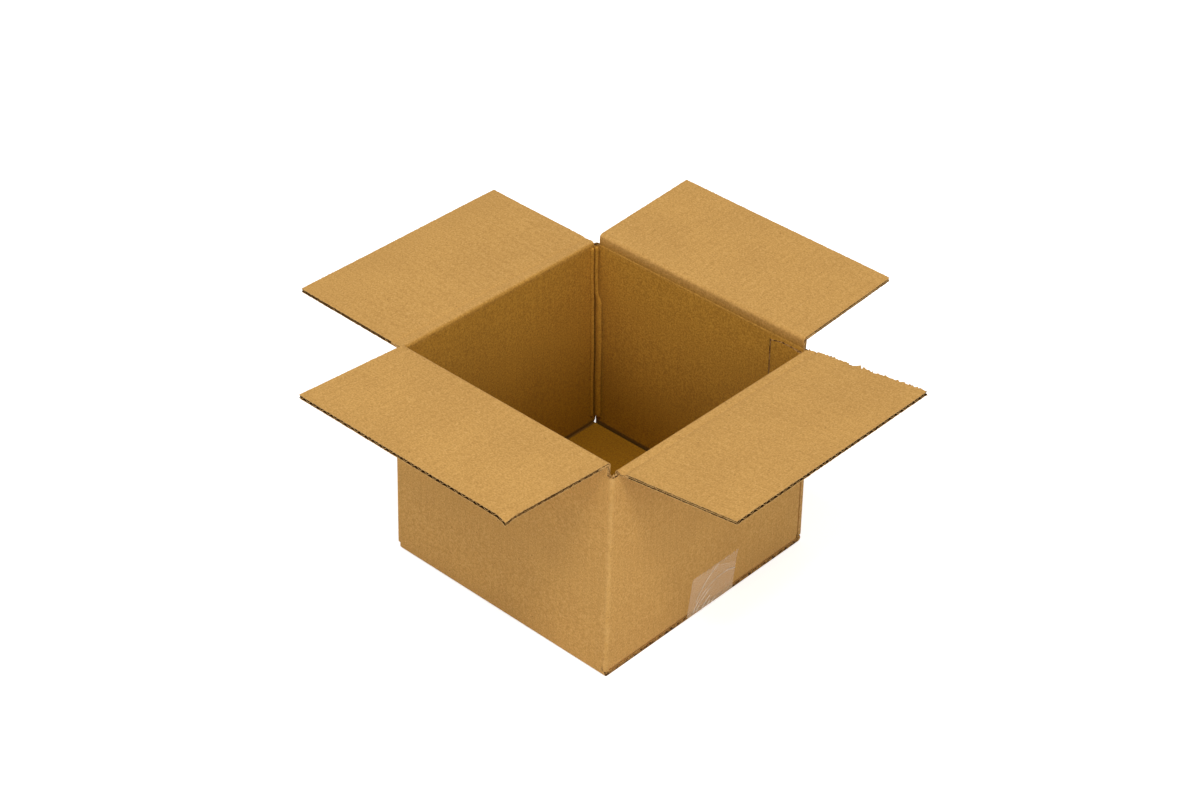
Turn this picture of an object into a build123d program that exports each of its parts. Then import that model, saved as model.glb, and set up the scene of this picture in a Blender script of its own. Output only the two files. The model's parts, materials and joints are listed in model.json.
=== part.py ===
"""A small open carton of single-wall corrugated board, with four hinged top flaps and a taped bottom.

The origin is at the middle of the underside, on the surface that the carton stands on.
+Z is up, the front wall faces -Y and the right wall faces +X. Lengths are in millimetres.
"""

from build123d import *

import os
from math import cos, floor, radians, sin, tan

# Overall sizes of the folded carton
box_length = 200.0  # outside, from the left wall to the right wall
box_width = 202.0  # outside, from the front wall to the back wall
blank_edge = 263.8  # height that the free edge of a flap would reach if it stood up straight
low_crease = 164.8  # fold of the left and right flaps, above the surface
crease_step = 6.5  # the front and back flaps fold this much higher

# Corrugated board
board = 3.0
liner = 0.35
medium = 0.3
flute_pitch = 6.45
flute_slope = 50.0  # steepness of the medium's flanks, in degrees
bend_radius = 2.6  # outside of a folded edge

# Creases of the top flaps
crease_skin = 0.8  # board left outside the line that the flap turns on
crease_gap = 0.3  # clearance between the two sides of the crease
inward_half_angle = 43.5  # half the opening that lets a flap close to level, in degrees
outward_half_angle = 6.5  # half the opening that lets a flap hang outside, in degrees
crushed_length = 9.5  # the flutes are crushed flat this far from the crease
score_radius = 1.6
score_depth = 0.45

# Slots between neighbouring flaps
slot_half_width = 5.2
slot_drop = 0.8  # the top slots end this far below the low crease
notch_half_width = 3.4  # the bottom slots are narrower
front_right_shift = 2.4  # the front bottom flap reaches this far into the slot at its fold
front_right_taper = 30.0  # and is back in line this far from the fold
front_right_notch = 4.2  # top of the bottom slot at each corner
front_left_notch = 5.5
back_right_notch = 5.5
back_left_notch = 8.5
flap_corner_radius = 1.5

# Bottom flaps
ply_gap = 0.3  # between the inner and the outer pair
seam_gap = 2.0  # between two flaps that meet

# Beads and grooves that the score leaves inside a folded corner
bead_radius = 1.7
bead_offset = 3.0  # along the wall, from the inside corner
bead_rise = 0.7  # off the wall
groove_radius = 0.8
groove_offset = 5.2
groove_depth = 0.5
bead_foot = 3.0  # the beads start this far above the bottom slot
bead_clearance = 0.6  # they end this far under the closed flaps

# Glue tab, on the inside of the back wall
tab_width = 34.3  # from the outside of the right wall
tab_foot = 10.0
tab_gap = 4.0  # from the low crease down to its top edge, beside the corner
tab_drop = 2.2  # the top edge falls by this towards the free edge
tab_flute_depth = 6.0
raw_edge_inset = 0.5  # the back panel's cut edge stops short of the right wall's face

# Clear tape over the bottom seam
tape_thickness = 0.1
tape_width = 49.0
tape_offset = 4.5  # its middle lies this far behind the seam
tape_corner_radius = 3.3  # where it bridges the bottom edge of the box
tape_right_height = 33.0
tape_right_lean = 4.2  # the right tail leans towards the back by this
tape_left_height = 36.0
tape_tail_radius = 3.5
tape_tail_foot = 5.0  # the straight tails start this high

# Rest positions of the flaps, in degrees above level
front_rise = 3.7
back_rise = 3.8
left_rise = 0.6
right_rise = 7.8

half_length = box_length / 2
half_width = box_width / 2
inside_x = half_length - board
inside_y = half_width - board
high_crease = low_crease + crease_step
outer_floor = tape_thickness
inner_floor = outer_floor + board + ply_gap
inner_side = board - crease_skin  # board inside the line that a flap turns on
slot_floor = low_crease - slot_drop
bead_top = low_crease - inner_side - bead_clearance
tab_top = low_crease - tab_gap
inward_slope = tan(radians(inward_half_angle))
outward_slope = tan(radians(outward_half_angle))
nose = crease_gap / 2

front, back = Vector(0, -1, 0), Vector(0, 1, 0)
left, right = Vector(-1, 0, 0), Vector(1, 0, 0)
up = Vector(0, 0, 1)


def section_plane(outward, origin=Vector(0, 0, 0), rise=0.0):
    """Plane across a wall or flap: x runs outwards and rises by that many degrees."""
    along = outward * cos(radians(rise)) + up * sin(radians(rise))
    return Plane(origin=origin, x_dir=along, z_dir=outward.cross(up))


def cut_flutes(plane, width, depth, margin=None):
    """Cuts the tunnels on both sides of the medium, open at the side edges unless they get a margin."""
    half_span = board / 2 - liner
    slope = tan(radians(flute_slope))
    lean = 2 * half_span / slope
    mouth = (flute_pitch / 2 + lean - medium / sin(radians(flute_slope))) / 2
    crest = mouth - (2 * half_span - medium) / slope
    crest_level = medium - half_span
    clear = width / 2 + mouth if margin is None else width / 2 - mouth - margin
    reach = clear / flute_pitch
    with BuildSketch(plane) as tunnels:
        with GridLocations(flute_pitch, 1, 2 * floor(reach + 0.5), 1):
            Polygon(
                (-mouth, half_span),
                (-crest, crest_level),
                (crest, crest_level),
                (mouth, half_span),
                align=None,
            )
        with GridLocations(flute_pitch, 1, 2 * floor(reach) + 1, 1):
            Polygon(
                (-mouth, -half_span),
                (mouth, -half_span),
                (crest, -crest_level),
                (-crest, -crest_level),
                align=None,
            )
    extrude(tunnels.sketch, amount=depth, mode=Mode.SUBTRACT)


def panel(outward, half_depth, half_span, floor_level, crease, extra=0.0):
    """A wall and its bottom flap: one sheet, bent at the bottom and thinned at the top crease."""
    inside = half_depth - board
    hinge = half_depth - crease_skin
    with BuildSketch(section_plane(outward)) as sheet:
        with BuildLine():
            Polyline(
                (seam_gap / 2, floor_level),
                (half_depth, floor_level),
                (half_depth, crease - crease_skin / outward_slope),
                (hinge + nose * outward_slope, crease - nose),
                (hinge - nose * inward_slope, crease - nose),
                (inside, crease - inner_side / inward_slope),
                (inside, floor_level + board),
                (seam_gap / 2, floor_level + board),
                close=True,
            )
        make_face()
        fillet(sheet.vertices().sort_by_distance((half_depth, floor_level))[0], bend_radius)
        if crease > low_crease:
            with Locations((inside - score_radius + score_depth, low_crease)):
                Circle(score_radius, mode=Mode.SUBTRACT)
    extrude(sheet.sketch, amount=half_span)
    extrude(sheet.sketch, amount=-half_span - extra)


def corner_crease(x, y, foot, top):
    """The two beads and their grooves inside the folded corner at x, y."""
    in_x = -1 if x > 0 else 1
    in_y = -1 if y > 0 else 1
    with BuildSketch(Plane.XY.offset(foot)) as beads:
        with BuildLine():
            Polyline(
                (x, y),
                (x + in_x * bead_offset, y),
                (x + in_x * bead_offset, y + in_y * bead_rise),
                (x + in_x * bead_rise, y + in_y * bead_offset),
                (x, y + in_y * bead_offset),
                close=True,
            )
        make_face()
        with Locations(
            (x + in_x * bead_offset, y + in_y * bead_rise),
            (x + in_x * bead_rise, y + in_y * bead_offset),
        ):
            Circle(bead_radius)
    extrude(beads.sketch, amount=top - foot)
    off_wall = groove_radius - groove_depth
    with BuildSketch(Plane.XY.offset(foot)) as grooves:
        with Locations(
            (x + in_x * groove_offset, y + in_y * off_wall),
            (x + in_x * off_wall, y + in_y * groove_offset),
        ):
            Circle(groove_radius)
    extrude(grooves.sketch, amount=top - foot, mode=Mode.SUBTRACT)


def corner_post(side_x, side_y, notch):
    """The strip of board that turns the corner, between the bottom slot and the top one."""
    with BuildSketch(Plane.XY.offset(notch)) as post:
        with Locations((side_x * half_length, side_y * half_width)):
            Rectangle(2 * slot_half_width, 2 * slot_half_width)
        Rectangle(box_length, box_width, mode=Mode.INTERSECT)
        Rectangle(2 * inside_x, 2 * inside_y, mode=Mode.SUBTRACT)
    extrude(post.sketch, amount=slot_floor - notch)


# The folded blank: walls, bottom flaps and glue tab
folded_corners = ((1, -1), (-1, -1), (-1, 1))
notches = {
    (1, -1): front_right_notch,
    (-1, -1): front_left_notch,
    (-1, 1): back_left_notch,
    (1, 1): back_right_notch,
}
with BuildPart() as carton:
    front_span = half_length - notch_half_width
    side_span = half_width - notch_half_width
    panel(front, half_width, front_span, outer_floor, high_crease, front_right_shift)
    panel(back, half_width, front_span, outer_floor, high_crease)
    panel(left, half_length, side_span, inner_floor, low_crease)
    panel(right, half_length, side_span, inner_floor, low_crease)
    with BuildSketch():
        Polygon(
            (half_length, -half_width),
            (half_length, 0),
            (front_span, 0),
            (front_span, front_right_taper - half_width),
            (front_span + front_right_shift, -half_width),
            align=None,
        )
    extrude(amount=inner_floor, mode=Mode.SUBTRACT)
    for (side_x, side_y), notch in notches.items():
        corner_post(side_x, side_y, notch)

    # Three corners are folded round; at the fourth the right wall turns in behind the back panel
    with BuildSketch():
        with Locations(*[(x * half_length, y * half_width) for x, y in folded_corners]):
            Rectangle(2 * bend_radius, 2 * bend_radius)
        with Locations((half_length, inside_y - bend_radius / 2)):
            Rectangle(2 * bend_radius, bend_radius)
        inset_x = half_length - bend_radius
        inset_y = half_width - bend_radius
        with Locations(
            (inset_x, inside_y - bend_radius),
            *[(x * inset_x, y * inset_y) for x, y in folded_corners],
        ):
            Circle(bend_radius, mode=Mode.SUBTRACT)
        with Locations((half_length, half_width - board / 2)):
            Rectangle(2 * raw_edge_inset, board)
    extrude(amount=high_crease, mode=Mode.SUBTRACT)

    # The top slots
    with BuildSketch(Plane.XY.offset(slot_floor)):
        with GridLocations(box_length, box_width, 2, 2):
            Rectangle(2 * slot_half_width, 2 * slot_half_width)
    extrude(amount=high_crease - slot_floor, mode=Mode.SUBTRACT)

    tab_edge = half_length - tab_width
    with BuildSketch(Plane(origin=(0, inside_y, 0), x_dir=(1, 0, 0), z_dir=(0, -1, 0))):
        with BuildLine():
            Polyline(
                (tab_edge, tab_foot),
                (inside_x, tab_foot),
                (inside_x, tab_top),
                (tab_edge, tab_top - tab_drop),
                close=True,
            )
        make_face()
    extrude(amount=board)

    for corner in folded_corners:
        foot = notches[corner] + bead_foot
        corner_crease(corner[0] * inside_x, corner[1] * inside_y, foot, bead_top)
    corner_crease(inside_x, inside_y - board, tab_foot, tab_top)

    flute_span = inside_x - groove_offset - groove_radius - tab_edge
    flute_bottom = tab_top - tab_drop - tab_flute_depth
    flute_middle = (tab_edge + flute_span / 2, inside_y - board / 2, flute_bottom)
    cut_flutes(Plane(origin=flute_middle), flute_span, tab_top - flute_bottom, liner)
carton.part.label = "carton"


def make_flap(name, outward, half_depth, panel_width, crease, rise):
    """A top flap: a plate of board with open flutes, thinned at its crease, at its rest angle."""
    width = panel_width - 2 * slot_half_width
    hinge = outward * (half_depth - crease_skin) + up * crease
    across = section_plane(outward, hinge, rise)
    length = blank_edge - crease
    with BuildPart() as flap:
        with BuildSketch(across):
            with BuildLine():
                Polyline(
                    (nose, -nose * outward_slope),
                    (crease_skin / outward_slope, -crease_skin),
                    (length, -crease_skin),
                    (length, inner_side),
                    (inner_side / inward_slope, inner_side),
                    (nose, nose * inward_slope),
                    close=True,
                )
            make_face()
            if crease == low_crease:
                with Locations((crease_step, inner_side + score_radius - score_depth)):
                    Circle(score_radius, mode=Mode.SUBTRACT)
        extrude(amount=width / 2, both=True)
        upright = flap.edges().filter_by(Axis(hinge, across.y_dir))
        fillet(upright.sort_by_distance(hinge)[-2:], flap_corner_radius)
        middle = hinge + across.x_dir * length + across.y_dir * (inner_side - board / 2)
        free_edge = Plane(origin=middle, x_dir=across.z_dir, z_dir=-across.x_dir)
        cut_flutes(free_edge, width, length - crushed_length)
    flap.part.label = name
    return flap.part


front_flap = make_flap("front_flap", front, half_width, box_length, high_crease, front_rise)
back_flap = make_flap("back_flap", back, half_width, box_length, high_crease, back_rise)
left_flap = make_flap("left_flap", left, half_length, box_width, low_crease, left_rise)
right_flap = make_flap("right_flap", right, half_length, box_width, low_crease, right_rise)

# The clear tape: a strip under the seam with a tail up each side wall
with BuildPart() as sealing_tape:
    outer_x = half_length + tape_thickness
    with BuildSketch(Plane(origin=(0, tape_offset, 0), x_dir=(1, 0, 0), z_dir=(0, -1, 0))):
        with BuildLine():
            FilletPolyline(
                (-outer_x, tape_tail_foot),
                (-outer_x, 0),
                (outer_x, 0),
                (outer_x, tape_tail_foot),
                radius=tape_corner_radius + tape_thickness,
            )
            Line((outer_x, tape_tail_foot), (half_length, tape_tail_foot))
            FilletPolyline(
                (half_length, tape_tail_foot),
                (half_length, tape_thickness),
                (-half_length, tape_thickness),
                (-half_length, tape_tail_foot),
                radius=tape_corner_radius,
            )
            Line((-half_length, tape_tail_foot), (-outer_x, tape_tail_foot))
        make_face()
    extrude(amount=tape_width / 2, both=True)

    near_edge = tape_offset - tape_width / 2
    far_edge = tape_offset + tape_width / 2
    with BuildSketch(Plane(origin=(half_length, 0, 0), x_dir=(0, 1, 0), z_dir=(1, 0, 0))) as tail:
        with BuildLine():
            Polyline(
                (near_edge, tape_tail_foot),
                (far_edge, tape_tail_foot),
                (far_edge + tape_right_lean, tape_right_height),
                (near_edge + tape_right_lean, tape_right_height),
                close=True,
            )
        make_face()
        torn = tail.vertices().sort_by_distance((near_edge, tape_right_height))[0]
        fillet(torn, tape_tail_radius)
    extrude(amount=tape_thickness)

    with BuildSketch(Plane(origin=(-half_length, 0, 0), x_dir=(0, -1, 0), z_dir=(-1, 0, 0))):
        with Locations((-tape_offset, (tape_tail_foot + tape_left_height) / 2)):
            Rectangle(tape_width, tape_left_height - tape_tail_foot)
    extrude(amount=tape_thickness)
sealing_tape.part.label = "sealing_tape"

os.makedirs("parts", exist_ok=True)
for piece in (carton.part, front_flap, back_flap, left_flap, right_flap, sealing_tape.part):
    export_step(piece, f"parts/{piece.label}.step")
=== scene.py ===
"""An open carton of corrugated board, finished for rendering in a plain pale studio.

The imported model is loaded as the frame, and every finished piece sits in it at the origin.
Lengths written in the operators are millimetres; mm() turns them into Blender's metres.
"""

import json
import random
from math import cos, pi, radians, sin

import bmesh
import bpy
from bpy.props import FloatProperty, FloatVectorProperty, IntProperty, PointerProperty
from mathutils import Matrix, Vector


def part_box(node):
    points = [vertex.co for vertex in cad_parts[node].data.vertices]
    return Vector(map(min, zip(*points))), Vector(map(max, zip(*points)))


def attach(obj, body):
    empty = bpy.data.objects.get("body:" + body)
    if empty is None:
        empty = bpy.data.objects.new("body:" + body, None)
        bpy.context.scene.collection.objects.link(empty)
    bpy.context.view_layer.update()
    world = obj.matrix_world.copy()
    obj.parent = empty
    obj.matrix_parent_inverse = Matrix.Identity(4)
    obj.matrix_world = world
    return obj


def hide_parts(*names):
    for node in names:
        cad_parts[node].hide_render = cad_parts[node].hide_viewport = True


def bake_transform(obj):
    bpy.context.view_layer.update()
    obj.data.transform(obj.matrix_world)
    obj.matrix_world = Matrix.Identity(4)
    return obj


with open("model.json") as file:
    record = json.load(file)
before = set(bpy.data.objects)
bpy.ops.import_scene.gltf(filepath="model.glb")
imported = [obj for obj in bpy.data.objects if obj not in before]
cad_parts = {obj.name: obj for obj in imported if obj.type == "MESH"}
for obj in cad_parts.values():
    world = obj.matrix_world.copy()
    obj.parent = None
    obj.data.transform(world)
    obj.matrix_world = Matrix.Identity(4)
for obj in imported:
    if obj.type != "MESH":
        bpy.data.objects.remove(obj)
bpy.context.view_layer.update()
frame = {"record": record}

bl_info = {
    "name": "Open Corrugated Carton",
    "version": (1, 0, 0),
    "blender": (4, 5, 0),
    "location": "3D View > Sidebar > Carton",
    "description": "Builds a taped carton with four hinged flaps and a plain studio around it",
    "category": "Add Mesh",
}

FLAPS = ("front_flap", "back_flap", "left_flap", "right_flap")
TURNS = {"front_flap": pi, "back_flap": 0.0, "left_flap": pi / 2, "right_flap": -pi / 2}
# What the die took off each flap's right and left edge, seen from outside, in millimetres
TRIMS = {"front_flap": (-0.5, 2.5), "back_flap": (0.5, 0.5), "left_flap": (0.4, 0.6), "right_flap": (-2.4, 0.5)}
# The folded carton in millimetres: its side walls' and end walls' faces from the middle, and the radius of a fold
SIDE, END, FOLD = 100.0, 101.0, 2.6
# Below this height it leans to the right by up to LEAN, and its end walls spread by up to that share of their place
UPRIGHT, LEAN, SPREAD = 167.0, 2.32, 0.0275
FILM_IOR = 1.48
WHITE = (1.0, 1.0, 1.0, 1.0)


def length_setting(name, description, default, least=0.0):
    return FloatProperty(name=name, description=description, default=default, min=least, unit="LENGTH")


def angle_setting(name, description, degrees):
    return FloatProperty(name=name, description=description, default=radians(degrees), subtype="ANGLE")


def colour_setting(name, description, red, green, blue):
    return FloatVectorProperty(
        name=name, description=description, default=(red, green, blue, 1.0), subtype="COLOR", size=4, min=0.0, max=1.0,
    )


class CartonBoard(bpy.types.PropertyGroup):
    """Sizes and colours of the corrugated board"""

    thickness: length_setting("Board", "Thickness of the corrugated board", 0.003, 0.001)
    liner: length_setting("Liner", "Thickness of each outer paper", 0.0005, 0.0001)
    medium: length_setting("Medium", "Thickness of the fluted paper", 0.0004, 0.0001)
    pitch: length_setting("Flute pitch", "Distance from one flute to the next", 0.00645, 0.002)
    seam: length_setting("Slot floor", "Height at which the flap sheets take over from the walls", 0.1634, 0.1)
    ragged: length_setting("Cut roughness", "How far the fibres of a cut edge stray", 0.00022)
    torn: length_setting("Tear roughness", "How far the fibres of a torn edge stray", 0.0014)
    warp: length_setting("Warp", "How far a panel wanders from flat", 0.0008)
    seed: IntProperty(name="Seed", description="Start of the random choices", default=7)
    kraft: colour_setting("Kraft", "Colour of the outer papers", 0.62, 0.345, 0.096)
    # These two tints are painted shade: they darken the inner paper inside the box, and more towards the bottom
    deep: colour_setting("Deep tone", "Tint of the inner paper below the folds", 0.93, 0.83, 0.35)
    low: colour_setting("Low tone", "Tint of the inner paper at the bottom", 0.53, 0.42, 0.015)
    fibre: colour_setting("Fibre", "Colour of the darker fibres and specks", 0.27, 0.125, 0.028)
    # This pale colour also paints a highlight along the walls' folded corners, besides their rubbed wear, the pale
    # fibres and the cut rims
    worn: colour_setting("Worn", "Colour of rubbed folds and pale fibres", 0.72, 0.44, 0.165)
    inside: colour_setting("Medium paper", "Colour of the fluted paper in the cut edges", 0.27, 0.14, 0.042)
    # The flute mouths' colour is painted shade: the near black of the faces inside the flutes, of the mouths in cut
    # edges and of the crease at the walls' feet
    tunnel: colour_setting("Flute mouths", "Colour between the papers, where no light comes", 0.06, 0.027, 0.006)


class CartonFlaps(bpy.types.PropertyGroup):
    """Reach and rest angle of the top flaps"""

    long_reach: length_setting("Side flap length", "Reach of the left and right flaps from their creases", 0.099, 0.02)
    short_reach: length_setting("End flap length", "Reach of the front and back flaps from their creases", 0.0925, 0.02)
    front_flap: angle_setting("Front rise", "Angle of the front flap above level", 3.7)
    back_flap: angle_setting("Back rise", "Angle of the back flap above level", 3.8)
    left_flap: angle_setting("Left rise", "Angle of the left flap above level", 0.6)
    right_flap: angle_setting("Right rise", "Angle of the right flap above level", 7.8)


class CartonTape(bpy.types.PropertyGroup):
    """The clear tape over the bottom seam"""

    width: length_setting("Width", "Width of the tape", 0.049, 0.01)
    film: length_setting("Film", "Thickness of the tape", 0.0001, 0.00002)
    tint: colour_setting("Tint", "Colour that the film adds to the board", 0.95, 0.66, 0.35)
    crease: colour_setting("Wrinkle", "Colour of the lifted wrinkles", 0.95, 0.86, 0.74)


class CartonStudio(bpy.types.PropertyGroup):
    """Camera, floor and light"""

    azimuth: angle_setting("Azimuth", "Camera's turn round the carton, from the front", 41.5)
    elevation: angle_setting("Elevation", "Camera's height as an angle", 35.39)
    roll: angle_setting("Roll", "Camera's roll", 1.93)
    distance: length_setting("Distance", "Camera's distance from its target", 1.85693)
    target: FloatVectorProperty(
        name="Target", description="Point that the camera faces", subtype="TRANSLATION", size=3,
        default=(-0.04232, 0.0454, 0.08),
    )
    lens: FloatProperty(name="Lens", description="Focal length in millimetres", default=77.84, min=10.0)
    key: FloatProperty(
        name="Top light", description="Power of the light over the front corner, in watts", default=32.2, min=0.0,
    )
    sky: FloatProperty(name="Sky", description="Strength of the even light from all round", default=0.425, min=0.0)
    floor: colour_setting("Floor", "Colour of the floor", 0.91, 0.91, 0.91)


def mm(*lengths):
    """Millimetres as a tuple of metres."""
    return tuple(length * 0.001 for length in lengths)


# Modelling steps, shared by the pieces


def take(piece):
    """Selects that object alone and makes it the active one."""
    bpy.ops.object.select_all(action="DESELECT")
    piece.select_set(True)
    bpy.context.view_layer.objects.active = piece


def begin(name):
    """Names the object just added, applies its place and opens its mesh with everything selected."""
    piece = bpy.context.object
    piece.name = piece.data.name = name
    bpy.ops.object.transform_apply(location=True, rotation=True, scale=True)
    bpy.ops.object.mode_set(mode="EDIT")
    bpy.ops.mesh.select_all(action="SELECT")
    return piece


def start_grid(name, columns, rows, width, height, place, turn=(0, 0, 0)):
    """Adds a grid of that size at its place and opens it."""
    bpy.ops.mesh.primitive_grid_add(x_subdivisions=columns, y_subdivisions=rows, size=1.0)
    grid = bpy.context.object
    grid.location = mm(*place)
    grid.rotation_euler = turn
    grid.scale = (width * 0.001, height * 0.001, 1.0)
    return begin(name)


def pick(kind, test, rim_only=False):
    """Selects what passes the test at all its corners; the test gets x, y and z in millimetres."""
    mesh = bpy.context.edit_object.data
    bpy.ops.mesh.select_mode(type=kind)
    bpy.ops.mesh.select_all(action="DESELECT")
    shape = bmesh.from_edit_mesh(mesh)
    choices = {"VERT": shape.verts, "EDGE": shape.edges, "FACE": shape.faces}[kind]
    for choice in choices:
        corners = (choice,) if kind == "VERT" else choice.verts
        if rim_only and not choice.is_boundary:
            continue
        if all(test(*(corner.co * 1000)) for corner in corners):
            choice.select_set(True)
    bmesh.update_edit_mesh(mesh)


def pull(*moves):
    """Extrudes the selection by each move in turn."""
    for move in moves:
        bpy.ops.mesh.extrude_region_move(TRANSFORM_OT_translate={"value": mm(*move)})


def pull_along(points):
    """Extrudes the selected edge from the first point to each of the others."""
    for here, there in zip(points, points[1:]):
        pull([b - a for a, b in zip(here, there)])


def bend(angle, centre, axis, steps=5):
    """Spins the selected edge round a fold, anticlockwise as seen against the axis; the operator counts clockwise."""
    bpy.ops.mesh.spin(steps=steps, angle=-angle, center=mm(*centre), axis=axis)


def shift(*move):
    """Moves the selection."""
    bpy.ops.transform.translate(value=mm(*move))


def stray(offset, seed):
    """Moves each selected vertex a random way by up to the offset; the order of their places keeps each run alike."""
    chance = random.Random(seed)
    shape = bmesh.from_edit_mesh(bpy.context.edit_object.data)
    chosen = [vertex for vertex in shape.verts if vertex.select]
    for vertex in sorted(chosen, key=lambda vertex: tuple(vertex.co)):
        way = Vector([chance.gauss(0, 1) for _ in range(3)])
        vertex.co += way.normalized() * offset * chance.random()
    bmesh.update_edit_mesh(bpy.context.edit_object.data)


def face_out(place, direction):
    """Turns the sheet round if its face nearest to the place points the other way."""
    shape = bmesh.from_edit_mesh(bpy.context.edit_object.data)
    goal = Vector(mm(*place))
    shape.normal_update()
    nearest = min(shape.faces, key=lambda face: (face.calc_center_median() - goal).length)
    if nearest.normal.dot(Vector(direction)) < 0:
        bpy.ops.mesh.select_all(action="SELECT")
        bpy.ops.mesh.flip_normals()


def leave_edit():
    bpy.ops.mesh.select_all(action="DESELECT")
    bpy.ops.object.mode_set(mode="OBJECT")


def apply_all(piece):
    """Applies the piece's modifiers in order."""
    take(piece)
    for modifier in list(piece.modifiers):
        bpy.ops.object.modifier_apply(modifier=modifier.name)


def thicken(piece, thickness, offset, rim=0, back=0):
    """Gives a sheet its thickness, inwards for an offset of -1; rim and back are steps in its material slots."""
    shell = piece.modifiers.new("Board", "SOLIDIFY")
    shell.thickness = thickness
    shell.offset = offset
    shell.use_rim = True
    shell.material_offset_rim = rim
    shell.material_offset = back
    apply_all(piece)


def weigh(piece, name, weight):
    """Gives each vertex a weight from its place in millimetres."""
    group = piece.vertex_groups.new(name=name)
    for vertex in piece.data.vertices:
        share = max(0.0, min(1.0, weight(*(vertex.co * 1000))))
        if share > 0:
            group.add([vertex.index], share, "REPLACE")
    return group.name


def ripple(piece, depth, size, direction, group):
    """Moves the surface by soft clouds of that size, where the group allows it."""
    clouds = bpy.data.textures.new(piece.name + "_clouds", "CLOUDS")
    clouds.noise_scale = size
    clouds.noise_depth = 1
    wander = piece.modifiers.new("Ripple", "DISPLACE")
    wander.texture = clouds
    wander.texture_coords = "LOCAL"
    wander.direction = direction
    wander.strength = depth
    wander.vertex_group = group
    apply_all(piece)


def join(name, pieces):
    """Joins the pieces into one, under that name."""
    take(pieces[0])
    for piece in pieces:
        piece.select_set(True)
    bpy.ops.object.join()
    whole = bpy.context.view_layer.objects.active
    whole.name = whole.data.name = name
    return whole


def settle(piece, matrix):
    """Carries the piece to its place and leaves its object at the origin."""
    piece.matrix_world = matrix
    take(piece)
    bpy.ops.object.transform_apply(location=True, rotation=True, scale=True)


def lean(piece):
    """The standing carton is a little out of true: it leans, and its walls spread towards the bottom."""
    for vertex in piece.data.vertices:
        x, y, z = vertex.co * 1000
        share = max(0.0, 1.0 - z / UPRIGHT)
        vertex.co = mm(x + (LEAN + 0.0027 * x) * share, y * (1.0 + SPREAD * share), z)


def smooth(piece, angle):
    take(piece)
    bpy.ops.object.shade_smooth_by_angle(angle=radians(angle))


def shred():
    """A thin tapering shred of paper, bent along its length."""
    piece = start_grid("fibre", 1, 3, 0.8, 2.0, (0, 1.0, 0))
    pick("VERT", lambda x, y, z: y > 1.2)
    bpy.ops.transform.resize(value=(0.55, 1.0, 1.0), center_override=mm(0.1, 1.0, 0))
    shift(0, 0, 0.25)
    pick("VERT", lambda x, y, z: y > 1.9)
    bpy.ops.transform.resize(value=(0.3, 1.0, 1.0), center_override=mm(0.2, 2.0, 0))
    shift(0.15, 0, 0.45)
    leave_edit()
    thicken(piece, 0.00018, 0.0)
    return piece


def leave_copy(first, matrix):
    """Settles a copy of the shred at its place."""
    copy = first.copy()
    copy.data = first.data.copy()
    bpy.context.collection.objects.link(copy)
    settle(copy, matrix)
    return copy


# Materials


def new_material(name):
    """A fresh node material; returns it with its tree, its shader and the place on the object."""
    material = bpy.data.materials.new(name)
    material.use_nodes = True
    tree = material.node_tree
    tree.nodes.clear()
    shader = tree.nodes.new("ShaderNodeBsdfPrincipled")
    output = tree.nodes.new("ShaderNodeOutputMaterial")
    tree.links.new(shader.outputs["BSDF"], output.inputs["Surface"])
    return material, tree, shader, add(tree, "ShaderNodeTexCoord").outputs["Object"]


def feed(tree, node, sockets):
    """Sets each named or numbered input to a value, or links it to another node's output."""
    for socket, value in sockets.items():
        if isinstance(value, bpy.types.NodeSocket):
            tree.links.new(value, node.inputs[socket])
        else:
            node.inputs[socket].default_value = value


def add(tree, kind, sockets=None, **settings):
    """Adds a node with its inputs and settings."""
    made = tree.nodes.new(kind)
    for name, value in settings.items():
        setattr(made, name, value)
    feed(tree, made, sockets or {})
    return made


def noise(tree, place, scale, detail=2.0, roughness=0.5):
    made = add(tree, "ShaderNodeTexNoise", {
        "Vector": place, "Scale": scale, "Detail": detail, "Roughness": roughness,
    })
    return made.outputs["Fac"]


def steps(tree, value, low, high, to_low=0.0, to_high=1.0):
    """Eases the value from one range into another."""
    made = add(tree, "ShaderNodeMapRange", {
        "Value": value, "From Min": low, "From Max": high, "To Min": to_low, "To Max": to_high,
    }, interpolation_type="SMOOTHSTEP")
    return made.outputs["Result"]


def sums(tree, operation, first, second=0.0):
    return add(tree, "ShaderNodeMath", {0: first, 1: second}, operation=operation).outputs[0]


def blend(tree, share, first, second, mode="MIX"):
    made = add(tree, "ShaderNodeMix", {0: share, 6: first, 7: second}, data_type="RGBA", blend_type=mode)
    return made.outputs[2]


def relief(tree, height, strength, distance):
    """The normal of a surface that rises with the height."""
    return add(tree, "ShaderNodeBump", {"Height": height, "Strength": strength, "Distance": distance}).outputs["Normal"]


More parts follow.
